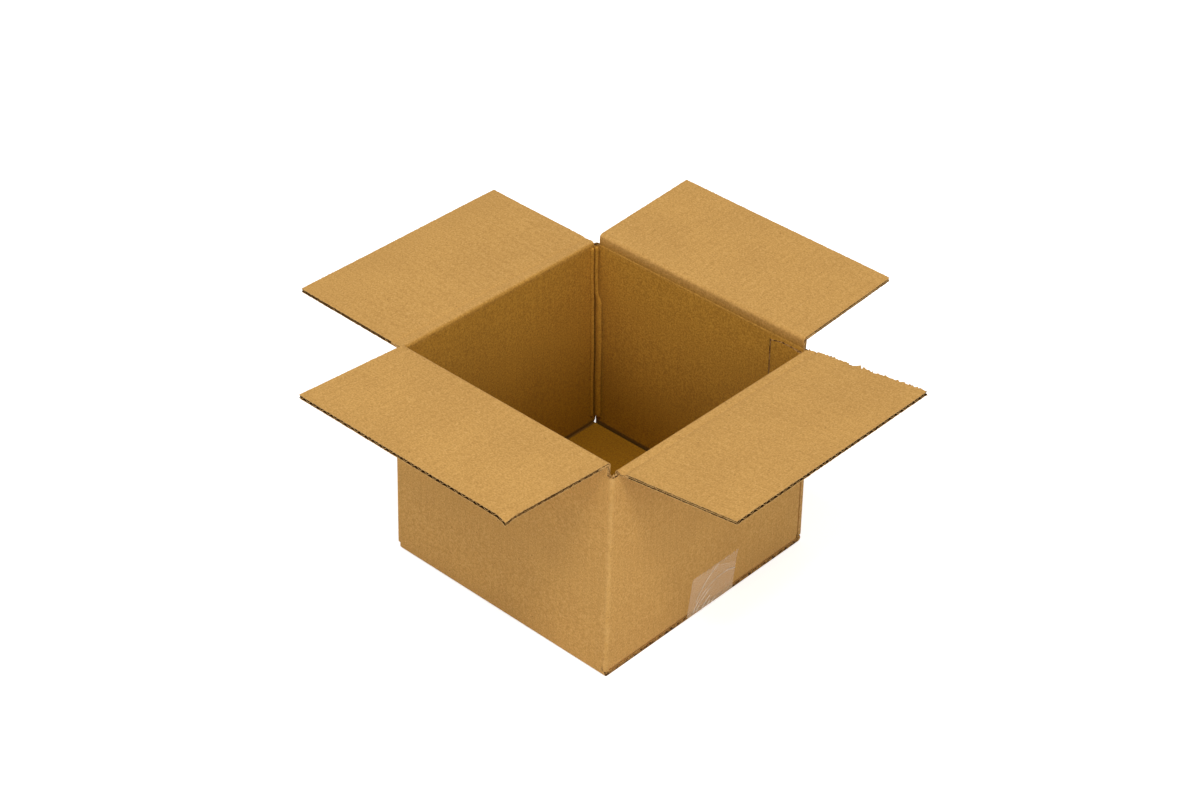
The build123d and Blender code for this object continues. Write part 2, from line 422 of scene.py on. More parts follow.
def kraft_paper(name, board, across, rubbed_and_highlit_folds):
    """Brown paper with cloudy pulp, fibres, specks and the flutes showing through, with painted shade on the walls'
    inner faces and, where the folds are rubbed, paler wear and a painted highlight; across names the flutes' axis.
    """
    material, tree, shader, place = new_material(name)
    x, y, z = add(tree, "ShaderNodeSeparateXYZ", {0: place}).outputs

    pulp = noise(tree, place, 22.0, 3.0, 0.6)
    mottle = noise(tree, place, 780.0, 4.0, 0.74)
    grain = noise(tree, place, 1800.0, 2.0, 0.6)
    colour = blend(tree, steps(tree, pulp, 0.3, 0.7, 0.0, 0.12), board.kraft, board.fibre)
    colour = blend(tree, steps(tree, mottle, 0.42, 0.66, 0.0, 0.42), colour, board.fibre)
    colour = blend(tree, steps(tree, mottle, 0.47, 0.3, 0.0, 0.55), colour, board.worn)
    colour = blend(tree, steps(tree, grain, 0.54, 0.72, 0.0, 0.26), colour, board.fibre)
    for scale, size, share, paint in (
        (105.0, 0.075, 0.75, board.fibre), (240.0, 0.09, 0.45, board.fibre), (170.0, 0.085, 0.5, board.worn),
    ):
        specks = add(tree, "ShaderNodeTexVoronoi", {"Vector": place, "Scale": scale, "Randomness": 1.0})
        colour = blend(tree, steps(tree, specks.outputs["Distance"], size, size * 0.45, 0.0, share), colour, paint)
    flutes = add(tree, "ShaderNodeTexWave", {
        "Vector": place, "Scale": pi / (10.0 * board.pitch), "Distortion": 0.35, "Detail": 1.0, "Detail Scale": 0.4,
    }, wave_type="BANDS", bands_direction=across, wave_profile="SIN").outputs["Fac"]
    colour = blend(tree, steps(tree, flutes, 0.2, 1.0, 0.0, 0.055), colour, board.fibre)

    # How far in from the walls' faces; they lean and spread towards the bottom, and the masks go with them
    lower = add(tree, "ShaderNodeMapRange", {"Value": z, "From Min": UPRIGHT * 0.001, "From Max": 0.0}).outputs[0]
    upright = sums(tree, "SUBTRACT", x, sums(tree, "MULTIPLY", lower, LEAN * 0.001))
    closed = sums(tree, "DIVIDE", y, sums(tree, "ADD", 1.0, sums(tree, "MULTIPLY", lower, SPREAD)))
    from_x = sums(tree, "SUBTRACT", SIDE * 0.001, sums(tree, "ABSOLUTE", upright))
    from_y = sums(tree, "SUBTRACT", END * 0.001, sums(tree, "ABSOLUTE", closed))
    from_wall = sums(tree, "MINIMUM", from_x, from_y)
    # Painted shade: inside the box the inner paper is tinted darker, and darker still towards the bottom; the front and
    # back walls' darkening starts lower than the side walls', so the back wall reads lighter
    within = sums(tree, "MULTIPLY", steps(tree, from_wall, 0.0012, 0.0026), steps(tree, z, 0.1735, 0.1605))
    tone = blend(tree, steps(tree, z, 0.150 if across == "Y" else 0.118, 0.004), board.deep, board.low)
    tone = blend(tree, steps(tree, mottle, 0.4, 0.64, 0.0, 0.2), tone, board.inside)
    colour = blend(tree, within, colour, blend(tree, 1.0, colour, tone, "MULTIPLY"))
    # Painted shade: a dark band in the crease where the walls meet the floor
    crease = sums(tree, "MULTIPLY", steps(tree, z, 0.0098, 0.0078), steps(tree, from_wall, 0.0050, 0.0038))
    colour = blend(tree, sums(tree, "MULTIPLY", sums(tree, "MULTIPLY", crease, within), 0.7), colour, board.tunnel)

    if rubbed_and_highlit_folds:
        # Rubbed wear and painted highlight: the paper is paler along the walls' folded corners
        fold = steps(tree, sums(tree, "MAXIMUM", from_x, from_y), 0.0042, 0.0004)
        rub_and_highlight = sums(tree, "MULTIPLY", fold, steps(tree, noise(tree, place, 90.0, 3.0, 0.7), 0.3, 0.65, 0.0, 0.3))
        colour = blend(tree, rub_and_highlight, colour, board.worn)

    height = sums(tree, "ADD", sums(tree, "MULTIPLY", mottle, 0.5), sums(tree, "MULTIPLY", grain, 0.3))
    height = sums(tree, "ADD", height, sums(tree, "MULTIPLY", flutes, 0.35))
    feed(tree, shader, {
        "Base Color": colour, "Normal": relief(tree, height, 0.35, 0.0002),
        "Roughness": steps(tree, mottle, 0.3, 0.7, 0.78, 0.93), "Specular IOR Level": 0.22,
    })
    return material


def flute_paper(board):
    """The fluted paper and the hidden sides of the outer papers, painted near black as the shade inside the tunnels."""
    material, tree, shader, place = new_material("flute_paper")
    mottle = noise(tree, place, 700.0, 4.0, 0.7)
    feed(tree, shader, {
        "Base Color": blend(tree, steps(tree, mottle, 0.55, 0.75, 0.0, 0.3), board.tunnel, board.inside),
        "Roughness": 0.95, "Specular IOR Level": 0.05,
    })
    return material


def cut_paper(board):
    """The pale, fuzzy rim of a cut paper."""
    material, tree, shader, place = new_material("cut_paper")
    fuzz = noise(tree, place, 900.0, 3.0, 0.7)
    feed(tree, shader, {
        "Base Color": blend(tree, steps(tree, fuzz, 0.4, 0.66, 0.15, 0.85), board.worn, board.fibre),
        "Normal": relief(tree, fuzz, 0.5, 0.0003), "Roughness": 0.93, "Specular IOR Level": 0.1,
    })
    return material


def cut_board(board):
    """A crushed cut through the board, with pale fibres and small dark mouths that are painted shade in the flute
    openings.
    """
    material, tree, shader, place = new_material("cut_board")
    mouths = noise(tree, place, 420.0, 2.0, 0.5)
    fuzz = noise(tree, place, 1100.0, 3.0, 0.7)
    # Painted shade: dark spots stand for the shadow in the flute openings
    colour = blend(tree, steps(tree, mouths, 0.52, 0.58), board.inside, board.tunnel)
    colour = blend(tree, steps(tree, mouths, 0.44, 0.38, 0.0, 0.5), colour, board.kraft)
    colour = blend(tree, steps(tree, fuzz, 0.6, 0.75, 0.0, 0.4), colour, board.kraft)
    feed(tree, shader, {
        "Base Color": colour, "Normal": relief(tree, fuzz, 0.6, 0.0004), "Roughness": 0.93, "Specular IOR Level": 0.1,
    })
    return material


def tape_film(tape):
    """Clear glossy film, pressed down more in some places than in others."""
    material, tree, shader, place = new_material("tape_film")
    patches = noise(tree, place, 55.0, 2.0, 0.5)
    feed(tree, shader, {
        "Base Color": tape.tint, "Alpha": steps(tree, patches, 0.3, 0.7, 0.3, 0.36),
        "Roughness": steps(tree, patches, 0.3, 0.7, 0.16, 0.34), "Normal": relief(tree, patches, 0.15, 0.0004),
        "IOR": FILM_IOR,
    })
    return material


def lifted_film(tape):
    """The film's wrinkles, pale where they stand off the board."""
    material, tree, shader, place = new_material("lifted_film")
    feed(tree, shader, {
        "Base Color": tape.crease, "Alpha": steps(tree, noise(tree, place, 160.0), 0.3, 0.65, 0.3, 0.75),
        "Roughness": 0.3, "IOR": FILM_IOR,
    })
    return material


def seen_rays(tree):
    """One for the rays that the camera, a reflection or a clear film sees by, and nought for light."""
    ray = add(tree, "ShaderNodeLightPath").outputs
    mirrored = sums(tree, "MAXIMUM", ray["Is Glossy Ray"], ray["Is Transmission Ray"])
    return sums(tree, "MAXIMUM", ray["Is Camera Ray"], mirrored)


def studio_floor(colour):
    """A pale floor that reads as white to the camera and still takes the carton's shadow."""
    material, tree, shader, place = new_material("studio_floor")
    tree.nodes.remove(shader)
    paper = blend(tree, steps(tree, noise(tree, place, 6.0), 0.3, 0.7, 0.0, 0.02), colour, (0.89, 0.89, 0.89, 1.0))
    matte = add(tree, "ShaderNodeBsdfDiffuse", {"Color": paper})
    strength = sums(tree, "MULTIPLY", seen_rays(tree), 0.62)
    glow = add(tree, "ShaderNodeEmission", {"Color": WHITE, "Strength": strength})
    both = add(tree, "ShaderNodeAddShader", {0: matte.outputs[0], 1: glow.outputs[0]})
    tree.links.new(both.outputs[0], tree.nodes["Material Output"].inputs["Surface"])
    return material


def kraft(across, rubbed_and_highlit_folds=False):
    """The board's material for panels whose flutes follow each other along that axis."""
    name = ("kraft_paper_walls_" if rubbed_and_highlit_folds else "kraft_paper_") + across.lower()
    return bpy.data.materials.get(name) or kraft_paper(name, bpy.context.scene.carton_board, across, rubbed_and_highlit_folds)


def shared(maker, settings):
    """The maker's material, made once."""
    return bpy.data.materials.get(maker.__name__) or maker(settings)


# The pieces


class CARTON_OT_walls(bpy.types.Operator):
    """Folds the blank round its four corners and closes its bottom flaps"""

    bl_idname = "carton.walls"
    bl_label = "Walls and Bottom"

    def execute(self, context):
        board = context.scene.carton_board
        top = board.seam * 1000
        foot = 8.5  # the walls end here, and the bottom flaps and corner strips go on
        slot = 3.4  # from a wall's face to the side of its neighbour's bottom flap
        tab_width, tab_face = 31.7, 97.95  # the tab lies against the inside of the back wall
        fold_x, fold_y = SIDE - FOLD, END - FOLD
        edge_x, edge_y = SIDE - slot, END - slot
        middle = (fold_x - tab_width / 2, tab_face, (top + foot) / 2)
        walls = start_grid("carton_walls", 6, 16, tab_width, top - foot, middle, (pi / 2, 0, 0))
        # A narrow strip along the tab's free edge, which later takes painted shade for the gap at that edge
        pick("VERT", lambda x, y, z: 70 < x < 72)
        shift(-3.7, 0, 0)
        # Round the blank, clockwise from the glue tab: right, front, left and back wall
        pick("EDGE", lambda x, y, z: x > fold_x - 0.1, rim_only=True)
        bend(-pi / 2, (fold_x, tab_face - FOLD, 0), (0, 0, 1))
        pull_along([(SIDE, y, 0) for y in (tab_face - FOLD, *range(80, -83, -18), -edge_y, -fold_y)])
        bend(-pi / 2, (fold_x, -fold_y, 0), (0, 0, 1))
        pull_along([(x, -END, 0) for x in (fold_x, edge_x, *range(80, -81, -20), -edge_x, -fold_x)])
        bend(-pi / 2, (-fold_x, -fold_y, 0), (0, 0, 1))
        pull_along([(-SIDE, y, 0) for y in (-fold_y, -edge_y, *range(-80, 81, 20), edge_y, fold_y)])
        bend(-pi / 2, (-fold_x, fold_y, 0), (0, 0, 1))
        pull_along([(x, END, 0) for x in (-fold_x, -edge_x, *range(-80, 81, 20), edge_x, SIDE - 0.5)])

        # The outer bottom flaps, front and back
        outer_fold = FOLD + 0.1
        for side in (-1, 1):
            pick(
                "EDGE", lambda x, y, z: z < foot + 0.1 and side * y > END - 0.1 and abs(x) < edge_x + 0.1,
                rim_only=True,
            )
            pull((0, 0, outer_fold - foot))
            bend(-side * pi / 2, (0, side * fold_y, outer_fold), (1, 0, 0))
            pull_along([(0, side * y, 0) for y in (fold_y, 96, 71, 46, 21, 1)])
        # The inner pair, left and right, lies a board's thickness higher and is cut narrower
        inner_fold = outer_fold + 3.3
        for side in (-1, 1):
            pick(
                "EDGE", lambda x, y, z: z < foot + 0.1 and side * x > SIDE - 0.1 and abs(y) < edge_y + 0.1,
                rim_only=True,
            )
            pull((0, 0, inner_fold - foot))
            bend(side * pi / 2, (side * fold_x, 0, inner_fold), (0, 1, 0))
            pull_along([(side * x, 0, 0) for x in (fold_x, 95, 71, 46, 21, 1)])
        for side in (-1, 1):
            pick("VERT", lambda x, y, z: 3.3 < z < 3.5 and side * y > 97 and abs(x) < 97.5)
            shift(0, -side * 1.2, 0)
        # Corner strips reach down to their notches
        for side_x, side_y, notch, beyond in ((1, -1, 4.2, 97.5), (-1, -1, 5.5, 97.5), (1, 1, 5.5, 100.9)):
            pick(
                "EDGE", lambda x, y, z: abs(z - foot) < 0.1 and side_x * x > 96.5 and side_y * y > beyond,
                rim_only=True,
            )
            pull((0, 0, notch - foot))
        # The hidden corner stays open above its notch
        pick("VERT", lambda x, y, z: z < foot + 0.1 and x < 0.1 - fold_x and y > fold_y - 0.1)
        shift(0, 0, 4.5)
        pick("VERT", lambda x, y, z: z < 6.1 and x < 0.1 - fold_x and abs(y - edge_y) < 0.1)
        shift(0, -1.6, 0)
        # The outer bottom flaps reach the right wall's face
        pick("VERT", lambda x, y, z: abs(x - edge_x) < 0.2 and z < 2.75)
        shift(2.9, 0, 0)
        # The glue tab is cut lower than the walls, and falls towards its free edge
        pick("VERT", lambda x, y, z: z > top - 0.1 and 97.5 < y < 98.2 and 60 < x < 97.45)
        shift(0, 0, -1.6)
        pick("VERT", lambda x, y, z: z > top - 1.7 and 97.5 < y < 98.2 and 60 < x < 68)
        shift(0, 0, -2.2)
        face_out((0, -END, 90), (0, -1, 0))
        leave_edit()
        self.paper(walls, board)
        # The tab is pressed thin against the back wall
        for vertex in walls.data.vertices:
            x, y, z = vertex.co * 1000
            if 60 < x < 93 and 94 < y < 96.5 and z > 8:
                vertex.co.y += 0.00025 * min(6.0, 93 - x) + (0.0006 if x < 66 else 0.0)
        loose = weigh(walls, "loose", lambda x, y, z: min(top - 4 - z, z - 12, 94 - min(abs(x), abs(y))) / 30)
        for direction in ("X", "Y"):
            ripple(walls, board.warp * 0.6, 0.09, direction, loose)
        lean(walls)
        smooth(walls, 30)
        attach(walls, "carton")
        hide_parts("carton")
        return {"FINISHED"}

    def paper(self, walls, board):
        """Thickens the walls and gives each face the paper whose flutes run its way, and each cut edge its own."""
        flutes_y, crushed, flutes_x, torn = range(4)
        for material in (kraft("Y", True), shared(cut_board, board), kraft("X", True), shared(cut_paper, board)):
            walls.data.materials.append(material)
        thicken(walls, board.thickness, -1.0, rim=crushed)
        for face in walls.data.polygons:
            normal, centre = face.normal, face.center * 1000
            if face.material_index == crushed:
                if centre.x > 99 and centre.y > 97.5:
                    face.material_index = torn
            # Painted shade: the strip along the glue tab's free edge takes the cut board's dark colour for the shadow
            # in the gap there
            elif 60 < centre.x < 67.2 and 94 < centre.y < 98.3 and centre.z > 10:
                face.material_index = crushed
            else:
                across_x = centre.z < 3.3 if abs(normal.z) > 0.7 else abs(normal.y) > abs(normal.x)
                face.material_index = flutes_x if across_x else flutes_y


class CARTON_OT_corner_beads(bpy.types.Operator):
    """Raises the pinched beads on both sides of each folded corner"""

    bl_idname = "carton.corner_beads"
    bl_label = "Corner Beads"

    def execute(self, context):
        beads = []
        # The inside corners, with the height at which their beads start
        for x, y, foot in ((97, -98, 7.2), (-97, -98, 8.5), (-97, 98, 13.5), (97, 95, 10.0)):
            in_x = -1 if x > 0 else 1
            in_y = -1 if y > 0 else 1
            seen = x < 0 < y
            for along_x in (True, False):
                away = (in_x * 3.0, in_y * 0.35) if along_x else (in_x * 0.35, in_y * 3.0)
                if seen:
                    away = (1.5, -1.7) if along_x else (0.5, -5.3)
                beads.append(self.bead(x + away[0], y + away[1], foot, in_x, in_y, along_x, seen))
        whole = join("corner_beads", beads)
        whole.data.materials.clear()
        whole.data.materials.append(kraft("X"))
        lean(whole)
        smooth(whole, 60)
        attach(whole, "carton")
        return {"FINISHED"}

    def bead(self, x, y, foot, in_x, in_y, along_x, seen):
        """One upright bead with rounded ends; the corner that the camera sees widens below its upper quarter."""
        top, radius = (163.2, 1.5) if seen else (162.0, 1.7)
        bpy.ops.mesh.primitive_cylinder_add(
            vertices=16, radius=radius * 0.001, depth=(top - foot) * 0.001, location=mm(x, y, (top + foot) / 2),
        )
        bead = begin("corner_bead")
        for level in range(int(foot) + 6, int(top) - 3, 7):
            bpy.ops.mesh.select_all(action="SELECT")
            bpy.ops.mesh.bisect(plane_co=mm(x, y, level), plane_no=(0, 0, 1))
        pick("EDGE", lambda px, py, pz: pz > top - 0.1 or pz < foot + 0.1)
        bpy.ops.mesh.bevel(offset=0.0014, segments=4, affect="EDGES")
        if seen:
            reach = (2.1, 1.0, 1.0) if along_x else (1.0, 0.8, 1.0)
            pick("VERT", lambda px, py, pz: pz < 124)
            bpy.ops.transform.resize(value=reach, center_override=mm(x - in_x * 1.7, y - in_y * 1.7, 100))
            pick("VERT", lambda px, py, pz: 70 < pz < 100)
            shift(in_x * 0.3, in_y * 0.2, 0)
        leave_edit()
        wobble = weigh(bead, "wobble", lambda px, py, pz: min(pz - foot, top - pz) / 20)
        for direction in ("X", "Y"):
            ripple(bead, 0.0007, 0.03, direction, wobble)
        return bead


class CARTON_OT_flaps(bpy.types.Operator):
    """Lays the corrugated sheets of the four top flaps and folds each round its crease"""

    bl_idname = "carton.flaps"
    bl_label = "Top Flaps"

    def execute(self, context):
        for name in FLAPS:
            self.make_flap(context.scene, name)
        return {"FINISHED"}

    def make_flap(self, scene, name):
        board, flaps = scene.carton_board, scene.carton_flaps
        joint = next(j for j in frame["record"]["behaviour"]["joints"] if j["child"] == name)
        hinge = Vector(joint["pos_m"])
        rise = getattr(flaps, name)
        low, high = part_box(name)
        sides = name in ("left_flap", "right_flap")
        trims = TRIMS[name]
        width = (high[1] - low[1] if sides else high[0] - low[0]) * 1000 - sum(trims)
        reach = (flaps.long_reach if sides else flaps.short_reach) * 1000
        drop = (hinge.z - board.seam) * 1000
        inner, outer = 2.2, -0.8  # the papers' faces above and below the line that the flap turns on
        flutes = round(width / (board.pitch * 1000))

        paper = kraft("Y" if sides else "X")
        # The flute paper is painted shade on the faces inside the flutes
        rim, tunnel = shared(cut_paper, board), shared(flute_paper, board)

        def finish_sheet(sheet, thickness, offset, *materials):
            leave_edit()
            for material in materials:
                sheet.data.materials.append(material)
            thicken(sheet, thickness, offset, rim=1, back=len(materials) - 1 if len(materials) > 2 else 0)

        def tilted(points):
            return [(0, u * cos(rise) - v * sin(rise), u * sin(rise) + v * cos(rise)) for u, v in points]

        # Points out along the flap, the crease's relief in the inner paper, and its score line down the wall
        stations = [12, 16, 21] + [26 + 6 * i for i in range(int((reach - 31) // 6) + 1)] + [reach - 1.2, reach]
        if sides:
            crease = [(2.4, 2.02), (3.6, 1.88), (5.2, 1.8), (5.9, 1.58), (6.8, 1.58), (7.6, 1.95), (8.8, 2.15)]
            score = []
            round_off = 2.8
        else:
            crease = [(3.2, 2.1), (4.2, 2.1), (5.6, 2.18), (8.8, 2.2)]
            score = [(-7.3, 0.0), (-6.8, 0.14), (-6.4, 0.2), (-6.0, 0.14), (-5.4, 0.0)]
            round_off = 3.0

        # The inner paper: up the wall, over the crease and out to the free edge
        sheet = start_grid("inner_paper", 2 * flutes, 1, width, 0.2, (0, -inner, -drop + 0.1), (pi / 2, 0, 0))
        pick("EDGE", lambda x, y, z: z > -drop + 0.19, rim_only=True)
        in_off = round_off - inner
        centre = (0, in_off, -in_off * (1 - sin(rise)) / cos(rise))
        grooves = [(0, deep - inner, level) for level, deep in score]
        pull_along([(0, -inner, -drop + 0.2)] + grooves + [(0, -inner, centre[2])])
        bend(-(pi / 2 - rise), centre, (1, 0, 0), steps=8)
        leaves = centre[1] * cos(rise) + centre[2] * sin(rise)
        pull_along(tilted([(leaves, inner)] + crease + [(u, inner) for u in stations]))
        self.fray(name, board, width, reach, rise, 11)
        face_out(tilted([(50, inner)])[0], (0, 0, 1))
        finish_sheet(sheet, board.liner, -1.0, paper, rim, tunnel)
        sheets = [sheet]

        # The outer paper turns straight out at the wall's face
        corner = outer * cos(rise) + (0.8 + outer * sin(rise)) * sin(rise) / cos(rise)
        sheet = start_grid(
            "outer_paper", 2 * flutes, 1, width, corner + drop, (0, 0.8, (corner - drop) / 2), (pi / 2, 0, 0),
        )
        pick("EDGE", lambda x, y, z: z > corner - 0.01, rim_only=True)
        start = (0.8 + outer * sin(rise)) / cos(rise)
        places = [start + u for u in (0.0, 0.3, 0.7, 1.2, 2.0, 4.0, 8.0)] + stations
        pull_along(tilted([(u, outer) for u in places]))
        self.fray(name, board, width, reach, rise, 23)
        face_out(tilted([(50, outer)])[0], (0, 0, -1))
        finish_sheet(sheet, board.liner, -1.0, paper, rim, tunnel)
        sheets.append(sheet)

        # The medium is crushed flat up the wall and through the crease
        sheet = start_grid("crushed_medium", 2 * flutes, 1, width, 0.4, (0, -0.7, -drop + 0.2), (pi / 2, 0, 0))
        pick("EDGE", lambda x, y, z: z > -drop + 0.39, rim_only=True)
        pull_along([(0, -0.7, -drop + 0.4)] + [(0, -0.7, -(drop - 0.4) * left / 4) for left in (3, 2, 1, 0)])
        bend(-(pi / 2 - rise), (0, 0, 0), (1, 0, 0), steps=6)
        pull_along(tilted([(0, 0.7), (2, 0.6), (4, 0.5), (6.5, 0.5), (9, 0.6)]))
        pick("VERT", lambda x, y, z: abs(x) > width / 2 - 0.1)
        stray(offset=0.00035, seed=board.seed)
        finish_sheet(sheet, 0.0014, 0.0, tunnel, rim)
        sheets.append(sheet)

        # The fluted medium, between the papers
        eighth = width / (8 * flutes)
        wave = (board.thickness - 2 * board.liner - board.medium) * 500
        sheet = start_grid("fluted_medium", 8 * flutes, 1, width, 3.0, (0, 9.5, 0.7))
        pick("EDGE", lambda x, y, z: y > 10.9, rim_only=True)
        pull_along([(0, u, 0) for u in (11, 20, 35, 50, 65, reach - 14, reach - 4, reach - 0.4)])
        for phase in (1, 2, 3, 5, 6, 7):
            pick("VERT", lambda x, y, z: round((x + width / 2) / eighth) % 8 == phase)
            shift(0, 0, wave * sin(phase * pi / 4))
        pick("VERT", lambda x, y, z: y > reach - 0.5 or abs(x) > width / 2 - 0.1)
        stray(offset=board.ragged, seed=board.seed)
        finish_sheet(sheet, board.medium, 0.0, tunnel, rim)
        settle(sheet, Matrix.Rotation(rise, 4, "X"))

        flap = join(name + "_board", sheets + [sheet] + self.edge_fibres(name, board, width, reach, rise))
        loose = weigh(flap, "loose", lambda x, y, z: (y - 14) / 60)
        ripple(flap, board.warp, 0.11, "Z", loose)
        if name == "front_flap":
            self.bend_corner(flap, -width / 2, reach)
        if name == "right_flap":
            self.wear_ends(flap, width / 2)
        offset = Matrix.Translation(mm((trims[0] - trims[1]) / 2, 0, 0))
        settle(flap, Matrix.Translation(hinge) @ Matrix.Rotation(TURNS[name], 4, "Z") @ offset)
        smooth(flap, 40)
        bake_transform(flap)
        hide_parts(name)

    def fray(self, name, board, width, reach, rise, salt):
        """Cuts the side and free edges finely and lets their fibres stray."""
        side, edge = width / 2 - 0.05, reach * cos(rise) - 0.7
        low = min(vertex.co.z for vertex in bmesh.from_edit_mesh(bpy.context.edit_object.data).verts) * 1000
        pick("EDGE", lambda x, y, z: abs(x) > side and y < 1.5 and z > low + 0.15, rim_only=True)
        bpy.ops.mesh.subdivide(number_cuts=3)
        pick("VERT", lambda x, y, z: abs(x) > side and y < 1.5 and z > low + 0.3)
        stray(offset=board.ragged * 1.3, seed=board.seed + salt + 3)
        pick("EDGE", lambda x, y, z: abs(x) > side and y > 11, rim_only=True)
        bpy.ops.mesh.subdivide(number_cuts=4)
        stray(offset=board.ragged, seed=board.seed + salt)
        pick("EDGE", lambda x, y, z: y > edge, rim_only=True)
        bpy.ops.mesh.subdivide(number_cuts=2)
        stray(offset=board.ragged, seed=board.seed + salt + 1)
        if name == "right_flap":
            pick("VERT", lambda x, y, z: x < 1.0 - width / 2 and y > 5)
            stray(offset=board.torn, seed=board.seed + salt + 2)

    def edge_fibres(self, name, board, width, reach, rise):
        """The crushed core and the shreds between the papers along both side edges."""
        chance = random.Random(name)
        tilt = Matrix.Rotation(rise, 4, "X")
        upright = Matrix(((0, 0, 1, 0), (1, 0, 0, 0), (0, 1, 0, 0), (0, 0, 0, 1)))
        # The front flap's edges are crushed shut, and the others stand open
        depth = 0.3 if name == "front_flap" else 1.2
        first = shred()
        first.data.materials.append(shared(cut_paper, board))
        fibres = []
        for side in (-1, 1):
            middle = (side * (width / 2 - depth), reach / 2 + 4.0, 0.7)
            core = start_grid("side_core", 24, 1, reach - 9.0, 2.1, middle, (pi / 2, 0, pi / 2))
            leave_edit()
            core.data.materials.append(shared(cut_board, board))
            thicken(core, 0.0001, 0.0)
            settle(core, tilt)
            fibres.append(core)
            place = 9.0
            while place < reach - 10:
                place += chance.uniform(2.0, 8.0)
                spot = mm(side * (width / 2 - chance.uniform(0.3, 0.7)), place, chance.uniform(-0.6, 0.5))
                size = Matrix.Diagonal((chance.uniform(0.4, 1.5), chance.uniform(0.5, 1.0), side, 1.0))
                turn = Matrix.Rotation(chance.uniform(-0.8, 0.8), 4, "X") @ upright
                fibres.append(leave_copy(first, tilt @ Matrix.Translation(spot) @ turn @ size))
        bpy.data.objects.remove(first)
        return fibres

    def wear_ends(self, flap, side):
        """By the near slot the board is crushed just past the fold; by the far slot it is torn round."""
        for vertex in flap.data.vertices:
            x, y, z = vertex.co * 1000
            crush = max(0.0, 1.0 - abs(side - x) / 7.0) * max(0.0, 1.0 - abs(y - 3.6) / 4.0)
            vertex.co.z -= crush * max(0.0, z + 0.8) * 0.00055
            vertex.co.x += 0.0024 * max(0.0, 1.0 - (x + side) / 8.0) * max(0.0, 1.0 - max(0.0, y) / 6.0) ** 2

    def bend_corner(self, flap, side, reach):
        """The free corner at the left-hand side is knocked down and crushed."""
        for vertex in flap.data.vertices:
            x, y, z = vertex.co * 1000
            near = max(0.0, 1.0 - ((x - side) ** 2 + (y - reach) ** 2) ** 0.5 / 9.0)
            vertex.co.z -= near ** 1.5 * 0.003
            vertex.co.x += near * near * 0.001


class CARTON_OT_fibres(bpy.types.Operator):
    """Leaves torn paper fibres in the slots"""

    bl_idname = "carton.fibres"
    bl_label = "Torn Fibres"

    def execute(self, context):
        board = context.scene.carton_board
        chance = random.Random(board.seed)
        level = board.seam * 1000
        scraps = []
        first = shred()
        # The slots' corners, with the number of fibres in each
        for corner_x, corner_y, count in ((98, -99, 18), (-98, -99, 6), (-98, 99, 2), (98, 99, 8)):
            for _ in range(count):
                reach_x, reach_y = chance.uniform(-3.0, 2.0), chance.uniform(-3.0, 2.0)
                if chance.random() < 0.5:
                    reach_x = chance.uniform(0.2, 1.8)
                else:
                    reach_y = chance.uniform(0.2, 1.8)
                place = Vector(mm(
                    corner_x + reach_x * (1 if corner_x > 0 else -1),
                    corner_y + reach_y * (1 if corner_y > 0 else -1),
                    level + chance.uniform(-0.3, 0.2),
                ))
                turn = Matrix.Rotation(chance.uniform(0, 2 * pi), 4, "Z")
                turn = turn @ Matrix.Rotation(chance.uniform(0.2, 1.3), 4, "X")
                size = Matrix.Diagonal((chance.uniform(0.6, 1.6), chance.uniform(0.6, 1.5), 1.0, 1.0))
                scraps.append(leave_copy(first, Matrix.Translation(place) @ turn @ size))
        bpy.data.objects.remove(first)
        whole = join("slot_fibres", scraps)
        whole.data.materials.clear()
        whole.data.materials.append(shared(cut_paper, board))
        lean(whole)
        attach(whole, "carton")
        return {"FINISHED"}


